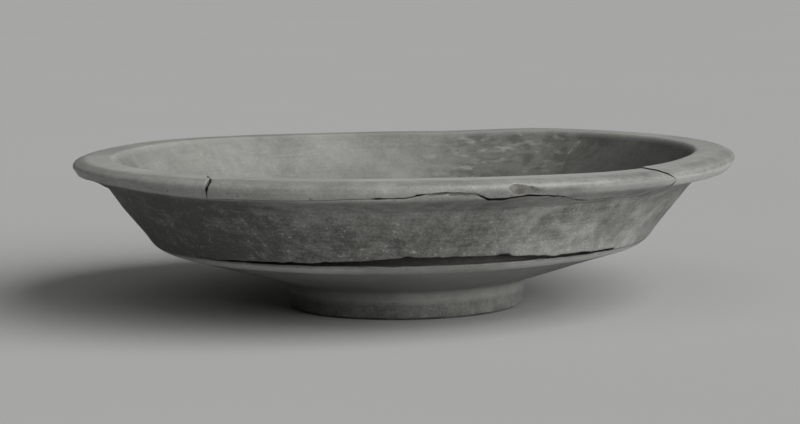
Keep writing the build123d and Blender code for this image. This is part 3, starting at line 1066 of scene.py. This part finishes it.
def front_lift(section, angle):
    """Height of the front wall's lower edge above the base, with its own raggedness."""
    lift = section.sizes.front_gap * tabled(angle, FRONT_GAP)
    ragged = rough(on_ring(CORNER_TRACK, angle), 6 * MM, 23)
    return lift + np.minimum(0.5 * MM, 0.4 * lift) * ragged


def rim_break(angle):
    """The rim break at the lip's edge: offset of the rim, offset of the wall, width of the scar."""
    angles, *tables = np.array(RIM_BREAK, float).T
    rise, gap, scar = (MM * np.interp(angle, angles, table) for table in tables)
    spot = on_ring(LIP_TRACK, angle)
    ragged = smooth(angle, 250, 264) * (1 - smooth(angle, 310, 318))
    rim = rise + (0.08 + 0.2 * ragged) * MM * rough(spot, 3.5 * MM, 25)
    return rim, rim - TIGHT_GAP - gap * (0.4 + 1.2 * lumps(spot, 2.5 * MM, 27)), scar


def rim_angles(section, first, second, share):
    """Angles in degrees of a sherd's columns where they meet the rim break."""
    place = LIP_TRACK
    for _ in range(4):
        angle = angles_of(first, second, share, place)
        offset = rim_break(angle)[0]
        place = section.outer.at(np.interp(offset, section.rim_offsets, section.rim_crossings))
    return angle


def ladder(stops, values, share):
    """Distances along a skin that pass the given stops at the given shares, row by row."""
    stops = np.stack(np.broadcast_arrays(*stops), -1)
    return np.stack([np.interp(share, values, row) for row in np.atleast_2d(stops)])


def lip_round(section, start, share):
    """Points from the outer skin round the lip to the crown, row by row."""
    reach = (section.outer.length - start)[:, None]
    walk = share[None] * (reach + section.inner.length - section.inner_crown)
    return np.where(
        (walk <= reach)[..., None],
        section.outer.at(start[:, None] + walk),
        section.inner.at(section.inner.length - (walk - reach)),
    )


def carination_break(section, angle, opened=False):
    """The carination break's outer start, inner end and path under the sherds at some angles."""
    lift = TIGHT_GAP + carination_lift(angle)
    return section.carination_path(lift + front_lift(section, angle) * opened, ACROSS)


def wall_sides(section, first, second, share):
    """The section of a sherd of wall with its flange, from the carination break to the lip."""
    sizes = section.sizes
    start, end, path = carination_break(section, angles_of(first, second, share, CORNER_TRACK))
    up = shares(46 * MM, 1.25 * MM, FINEST_STEP, 0.6 * MM)
    marks = (0, 0.68, 1)
    lip = np.full(len(share), section.outer_lip)
    outside = section.outer.at(ladder((start, section.outer_root, lip), marks, up))
    inside = section.inner.at(ladder((end, section.inner_rim, section.inner_crown), marks, up))
    broken = (0.3 * sizes.edge_wear, 0.15 * sizes.edge_chips, 31)
    return [
        Side(outside),
        Side(lip_round(section, lip, np.linspace(0, 1, ACROSS))),
        Side(inside[:, ::-1]),
        Side(above_film(path)[:, ::-1], broken),
    ]


def front_wall_sides(section, first, second, share):
    """The section of the front wall, open below at the carination and broken along the rim."""
    sizes = section.sizes
    low = angles_of(first, second, share, CORNER_TRACK)
    start, end, path = carination_break(section, low, True)
    _, edge, scar = rim_break(rim_angles(section, first, second, share))
    top, top_inside, top_path = section.rim_path(edge, 0 * edge, ACROSS)
    up = shares(42 * MM, 1 * MM, FINEST_STEP, FINEST_STEP)
    root = np.minimum(section.outer_root, top - 3 * MM)
    outside = section.outer.at(ladder((start, root, top), (0, 0.7, 1), up))
    inside = section.inner.at(ladder((end, top_inside), (0, 1), up))
    scarred = (0.2 * sizes.edge_wear + scar)[:, None]
    return [
        Side(outside),
        Side(top_path, (scarred, 0.2 * sizes.edge_chips, 33)),
        Side(inside[:, ::-1]),
        Side(above_film(path)[:, ::-1], (sizes.edge_wear, 0.5 * sizes.edge_chips, 35)),
    ]


def rim_sides(section, first, second, share):
    """The section of a front rim sherd, from the rim break round the lip to the inside."""
    sizes = section.sizes
    edge, _, _ = rim_break(rim_angles(section, first, second, share))
    start, end, path = section.rim_path(edge, np.full(len(share), TIGHT_GAP), RIM_ACROSS)
    face = shares(12 * MM, 0.8 * MM, FINEST_STEP, 0.8 * MM)
    flange = section.inner.at(np.linspace(section.inner_crown, section.inner_rim, RIM_ACROSS))
    drop = np.linspace(0, 1, len(face))[None]
    inside = section.inner.at(section.inner_rim + (end - section.inner_rim)[:, None] * drop)
    broken = (0.3 * sizes.edge_wear, 0.35 * sizes.edge_chips, 33)
    return [
        Side(above_film(path)[:, ::-1], broken),
        Side(lip_round(section, start, face)),
        Side(np.broadcast_to(flange, (len(share), *flange.shape))),
        Side(inside),
    ]


def make_film(name, node, under, over, finish):
    """Links a closed film of adhesive between two grids of points."""
    rows, columns = under.shape[:2]
    closed = bmesh.new()
    low, high = (
        [[closed.verts.new(spot) for spot in row] for row in grid] for grid in (under, over)
    )
    for r, c in itertools.product(range(rows - 1), range(columns - 1)):
        for face in (low, high):
            closed.faces.new((face[r][c], face[r + 1][c], face[r + 1][c + 1], face[r][c + 1]))
    edge = [((r, c), (r + 1, c)) for r in range(rows - 1) for c in (0, columns - 1)]
    edge += [((r, c), (r, c + 1)) for c in range(columns - 1) for r in (0, rows - 1)]
    for (r, c), (r_after, c_after) in edge:
        after = low[r_after][c_after], high[r_after][c_after]
        closed.faces.new((low[r][c], *after, high[r][c]))
    bmesh.ops.recalc_face_normals(closed, faces=closed.faces)
    mesh = bpy.data.meshes.new(name)
    closed.to_mesh(mesh)
    closed.free()
    piece = linked(name, mesh, finish)
    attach(piece, "root")
    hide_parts(node)


# Steps of the making


class BOWL_OT_base(bpy.types.Operator):
    """Build the base with its floor and ring foot"""

    bl_idname = "bowl.base"
    bl_label = "Base with foot"

    def execute(self, context):
        section = bowl_section()
        sizes = section.sizes
        angle = np.linspace(0, 360, BASE_COLUMNS, endpoint=False)
        start, end, path = section.carination_path(carination_lift(angle), ACROSS)
        worn_front = 0.3 + 0.9 * smooth(angle, 236, 256) * (1 - smooth(angle, 300, 314))
        under = shares(start.mean(), 2.2 * MM, 1.5 * MM, FINE_STEP)[1:]
        over = shares(end.mean(), 2.6 * MM, 2 * MM, FINE_STEP)[1:]
        sides = [
            Side(section.outer.at(start[:, None] * under[None])),
            Side(path, (sizes.edge_wear * worn_front[:, None], 0.15 * sizes.edge_chips, 31)),
            Side(section.inner.at(end[:, None] * over[None])[:, ::-1]),
        ]
        turn = np.radians(angle)[:, None]
        spots = [around(side.points[..., 0], turn, side.points[..., 1]) for side in sides]
        moved, bares, _ = weathered(sides, spots, [(), (), ()])
        loop = np.concatenate([moved[0][:, :-1], moved[1][:, :-1], moved[2]], 1)
        bare = np.concatenate([bares[0][:, :-1], bares[1][:, :-1], bares[2]], 1)
        count = loop.shape[1]
        points = around(loop[..., 0], turn, loop[..., 1]).reshape(-1, 3)
        poles = np.array([[0, 0, section.outer.points[0, 1]], [0, 0, section.inner.points[0, 1]]])
        poles[:, 2] -= (-1, 1) * unevenness(poles)
        number = np.arange(BASE_COLUMNS * count).reshape(BASE_COLUMNS, count)
        after = np.roll(number, -1, axis=0)
        quads = np.stack([number[:, :-1], after[:, :-1], after[:, 1:], number[:, 1:]], -1)
        low, high = number.size, number.size + 1
        faces = quads.reshape(-1, 4).tolist()
        faces += [[low, int(b), int(a)] for a, b in zip(number[:, 0], after[:, 0])]
        faces += [[high, int(a), int(b)] for a, b in zip(number[:, -1], after[:, -1])]
        points = np.concatenate([points, poles])
        bare = np.append(bare.reshape(-1), [0, 0])
        fields = {**slip_fields(points), "bare": bare, "filler": 0 * bare}
        make_piece("base", "base_with_foot", off_centre(points), fields, faces, slipped_clay())
        return {"FINISHED"}


class BOWL_OT_wall_sherds(bpy.types.Operator):
    """Build the left, back and right wall sherds, each with its stretch of flange"""

    bl_idname = "bowl.wall_sherds"
    bl_label = "Wall sherds"

    def execute(self, context):
        section = bowl_section()
        breaks = bowl_breaks(section)
        for side in ("left", "back", "right"):
            first, second = (breaks[key] for key in WALL_ENDS[side])
            length = section.sizes.rim_radius * ((second.angles[-1] - first.angles[-1]) % math.tau)
            share = shares(length, 1.7 * MM, FINE_STEP, FINE_STEP)
            sides = wall_sides(section, first, second, share)
            make_sherd(
                f"{side}_wall", f"{side}_wall_sherd", first, second, share, sides, slipped_clay(),
                WALL_MOVES,
            )
        return {"FINISHED"}


class BOWL_OT_front_wall(bpy.types.Operator):
    """Build the front wall sherd, open below at the carination and broken along the rim"""

    bl_idname = "bowl.front_wall"
    bl_label = "Front wall sherd"

    # Length that the mesh of the sherd is spaced for
    length = 190 * MM

    def execute(self, context):
        section = bowl_section()
        breaks = bowl_breaks(section)
        first, second = (breaks[key] for key in WALL_ENDS["front"])
        share = shares(self.length, 0.8 * MM, FINE_STEP, FINE_STEP)
        sides = front_wall_sides(section, first, second, share)
        make_sherd(
            "front_wall", "front_wall_sherd", first, second, share, sides, slipped_clay(),
            FRONT_MOVES,
        )
        return {"FINISHED"}


class BOWL_OT_front_rim(bpy.types.Operator):
    """Build the two front rim sherds, with the spalled chip on the lip"""

    bl_idname = "bowl.front_rim"
    bl_label = "Front rim sherds"

    # Lengths that the meshes of the sherds are spaced for
    lengths = {"left": 140 * MM, "right": 49 * MM}
    # Flakes gone from the lip: angle, deepest place as radius and height, and the radius and the
    # tilt of the scoop, in millimetres and degrees
    flakes = ((289, 128.6, 56.2, 40, -22), (287.8, 129, 58, 14, 4), (291.2, 128.5, 55.6, 14, -26))

    def spalled(self, points):
        """The points with shallow flakes scooped off the lip, and how bare the clay is there."""
        bare = np.zeros(len(points))
        ragged = 0.22 * MM * rough(points, 2.4 * MM, 41)
        for angle, deep, height, radius, tilt in self.flakes:
            out = deep + radius * math.cos(math.radians(tilt))
            up = height + radius * math.sin(math.radians(tilt))
            centre = around(out * MM, math.radians(angle), up * MM)
            off = points - centre
            distance = np.linalg.norm(off, axis=1)
            limit = radius * MM + ragged
            bare = np.maximum(bare, 0.8 * smooth(limit - distance, -0.25 * MM, 0.4 * MM))
            lost = (distance < limit)[:, None]
            points = np.where(lost, centre + off * (limit / distance)[:, None], points)
        return points, bare

    def execute(self, context):
        section = bowl_section()
        breaks = bowl_breaks(section)
        for side, keys in RIM_ENDS.items():
            first, second = (breaks[key] for key in keys)
            share = shares(self.lengths[side], 0.5 * MM, FINEST_STEP, FINEST_STEP)
            sides = rim_sides(section, first, second, share)
            make_sherd(
                f"front_rim_{side}", f"front_rim_sherd_{side}", first, second, share, sides,
                slipped_clay(), FRONT_MOVES, self.spalled if side == "left" else None,
            )
        return {"FINISHED"}


class BOWL_OT_adhesive(bpy.types.Operator):
    """Build the films of adhesive, set back in the breaks"""

    bl_idname = "bowl.adhesive"
    bl_label = "Adhesive"

    # Half a film's thickness, its clearance above and below and its inset from its ends
    half_film = 0.13 * MM
    clear = 0.02 * MM
    inset = 0.6 * MM
    # Points across a tight break and across the open break in front that the film fills
    filled = slice(3, -3)
    front_filled = slice(9, -3)

    def across(self, name, between, sides, row, finish, moves):
        """The film of a break that runs up the wall or across the rim."""
        loop = np.concatenate([side.points[row, :-1] for side in sides])
        counts = sides[0].points.shape[1], sides[1].points.shape[1]
        grid = patch(loop, counts)[2:-2, 2:-2]
        turn, half = between.angle(grid, 0), self.half_film / grid[..., 0]
        faces = [around(grid[..., 0], turn + way * half, grid[..., 1]) for way in (-1, 1)]
        self.link(name, faces, finish, moves)

    def along(self, name, first, second, share, under, over, finish, moves):
        """The film of a break that runs round the bowl."""
        faces = []
        for path, rise in ((under, self.clear), (over, -self.clear)):
            start, end = between_breaks(first, second, path)
            inset = self.inset / path[..., 0]
            turn = start + inset + share[:, None] * (end - start - 2 * inset)
            faces.append(around(path[..., 0], turn, path[..., 1] + rise))
        self.link(name, faces, finish, moves)

    def link(self, name, faces, finish, moves):
        for move in moves:
            faces = [move(face.reshape(-1, 3)).reshape(face.shape) for face in faces]
        make_film(name.replace("adhesive", "film"), name, *faces, finish)

    def execute(self, context):
        finish = old_adhesive()
        section = bowl_section()
        breaks = bowl_breaks(section)
        ends, share = np.array([0.0, 1.0]), np.linspace(0, 1, FILM_COLUMNS)
        for side in ("left", "right"):
            first, second = (breaks[key] for key in WALL_ENDS[side])
            sides = wall_sides(section, first, second, ends)
            for row, key in enumerate(WALL_ENDS[side]):
                moves = WALL_MOVES if key.startswith("back") else FRONT_MOVES
                self.across(f"{key}_break_adhesive", breaks[key], sides, row, finish, moves)
        sides = rim_sides(section, breaks["cross"], breaks["right"], ends)
        self.across("rim_cross_adhesive", breaks["cross"], sides, 0, finish, FRONT_MOVES)
        for side, keys in WALL_ENDS.items():
            first, second = (breaks[key] for key in keys)
            angle = angles_of(first, second, share, CORNER_TRACK)
            columns = self.front_filled if side == "front" else self.filled
            under = carination_break(section, angle)[2]
            over = above_film(carination_break(section, angle, side == "front")[2])
            self.along(
                f"{side}_carination_adhesive", first, second, share,
                under[:, columns], over[:, columns], finish, [off_centre],
            )
        for side, keys in RIM_ENDS.items():
            first, second = (breaks[key] for key in keys)
            edges = rim_break(rim_angles(section, first, second, share))
            over, under = (
                section.rim_path(edge, np.full(len(share), lift), ACROSS)[2]
                for edge, lift in zip(edges, (TIGHT_GAP, 0))
            )
            over = above_film(over)
            self.along(
                f"rim_seam_adhesive_{side}", first, second, share,
                under[:, self.filled], over[:, self.filled], finish, FRONT_MOVES,
            )
        return {"FINISHED"}


class BOWL_OT_stage(bpy.types.Operator):
    """Set the floor, the light and the camera"""

    bl_idname = "bowl.stage"
    bl_label = "Stage"

    # The photograph's view: width, height and focal length in pixels, the target on the axis and
    # its place in the picture, elevation and roll in degrees, and the sensor's width
    picture = (800, 424)
    focal = 2527.26
    target = Vector((0, 0, 45 * MM))
    target_pixel = (404.2, 190.5)
    elevation = 5.704
    roll = 0.869
    sensor = 36.0
    # Half the width of the floor, and how far the camera sees
    floor_half = 14.0
    sight = 40
    # Lamps: azimuth from the front to the right, elevation and spread in degrees
    lamps = {"key": (52, 27, 60), "fill": (-20, 50, 60)}

    def camera(self, context):
        width, height = self.picture
        data = bpy.data.cameras.new("camera")
        data.sensor_width = self.sensor
        data.lens = self.focal * self.sensor / width
        data.shift_x = (width / 2 - self.target_pixel[0]) / width
        data.shift_y = (self.target_pixel[1] - height / 2) / width
        data.clip_end = self.sight
        tilt, roll = math.radians(self.elevation), math.radians(self.roll)
        ahead = Vector((0, math.cos(tilt), -math.sin(tilt)))
        level = Vector((1, 0, 0))
        upright = level.cross(ahead)
        right = level * math.cos(roll) - upright * math.sin(roll)
        up = level * math.sin(roll) + upright * math.cos(roll)
        turn = Matrix((right, up, -ahead)).transposed().to_4x4()
        place = self.target - ahead * context.scene.bowl_stage.camera_distance
        camera = bpy.data.objects.new("camera", data)
        camera.matrix_world = Matrix.Translation(place) @ turn
        context.scene.collection.objects.link(camera)
        context.scene.camera = camera

    def floor(self):
        half = self.floor_half
        mesh = bpy.data.meshes.new("floor")
        corners = [(-half, -half, 0), (half, -half, 0), (half, half, 0), (-half, half, 0)]
        mesh.from_pydata(corners, [], [(0, 1, 2, 3)])
        floor = linked("floor", mesh, stage_floor())

    def light(self, context):
        stage = context.scene.bowl_stage
        for name, (azimuth, tilt, spread) in self.lamps.items():
            data = bpy.data.lights.new(name, "SUN")
            data.energy = getattr(stage, name)
            data.angle = math.radians(spread)
            lamp = bpy.data.objects.new(name, data)
            azimuth, tilt = math.radians(azimuth), math.radians(tilt)
            flat = math.cos(tilt)
            towards = Vector((math.sin(azimuth) * flat, -math.cos(azimuth) * flat, math.sin(tilt)))
            lamp.rotation_euler = towards.to_track_quat("Z", "Y").to_euler()
            context.scene.collection.objects.link(lamp)
        sky = Nodes(bpy.data.worlds.new("studio"))
        seen = sky.node("ShaderNodeLightPath", {}, {}, "Is Camera Ray")
        soft = sky.node("ShaderNodeBackground", {}, {"Color": (1, 1, 1, 1), "Strength": stage.sky})
        pale = sky.node("ShaderNodeBackground", {}, {"Color": (*stage.floor, 1), "Strength": 1})
        either = sky.node("ShaderNodeMixShader", {}, {0: seen, 1: soft, 2: pale})
        sky.node("ShaderNodeOutputWorld", {}, {"Surface": either})
        context.scene.world = sky.owner

    def execute(self, context):
        self.camera(context)
        self.floor()
        self.light(context)
        context.scene.view_settings.view_transform = "Standard"
        return {"FINISHED"}


OPERATORS = (
    BOWL_OT_stage, BOWL_OT_base, BOWL_OT_wall_sherds, BOWL_OT_front_wall, BOWL_OT_front_rim,
    BOWL_OT_adhesive,
)


class BOWL_PT_panel(bpy.types.Panel):
    """The bowl's sizes, colours and steps"""

    bl_idname = "BOWL_PT_panel"
    bl_label = "Mended flanged bowl"
    bl_space_type = "VIEW_3D"
    bl_region_type = "UI"
    bl_category = "Bowl"

    def draw(self, context):
        scene = context.scene
        for group in (scene.bowl_sizes, scene.bowl_colours, scene.bowl_stage):
            box = self.layout.box()
            for key in group.__annotations__:
                box.prop(group, key)
        for operator in OPERATORS:
            self.layout.operator(operator.bl_idname)


CLASSES = (BowlSizes, BowlColours, BowlStage, *OPERATORS, BOWL_PT_panel)


def register():
    for item in CLASSES:
        bpy.utils.register_class(item)
    bpy.types.Scene.bowl_sizes = bpy.props.PointerProperty(type=BowlSizes)
    bpy.types.Scene.bowl_colours = bpy.props.PointerProperty(type=BowlColours)
    bpy.types.Scene.bowl_stage = bpy.props.PointerProperty(type=BowlStage)


def unregister():
    del bpy.types.Scene.bowl_stage
    del bpy.types.Scene.bowl_colours
    del bpy.types.Scene.bowl_sizes
    for item in reversed(CLASSES):
        bpy.utils.unregister_class(item)


def main():
    register()
    bpy.ops.bowl.stage()
    bpy.ops.bowl.base()
    bpy.ops.bowl.wall_sherds()
    bpy.ops.bowl.front_wall()
    bpy.ops.bowl.front_rim()
    bpy.ops.bowl.adhesive()


if __name__ == "__main__":
    main()
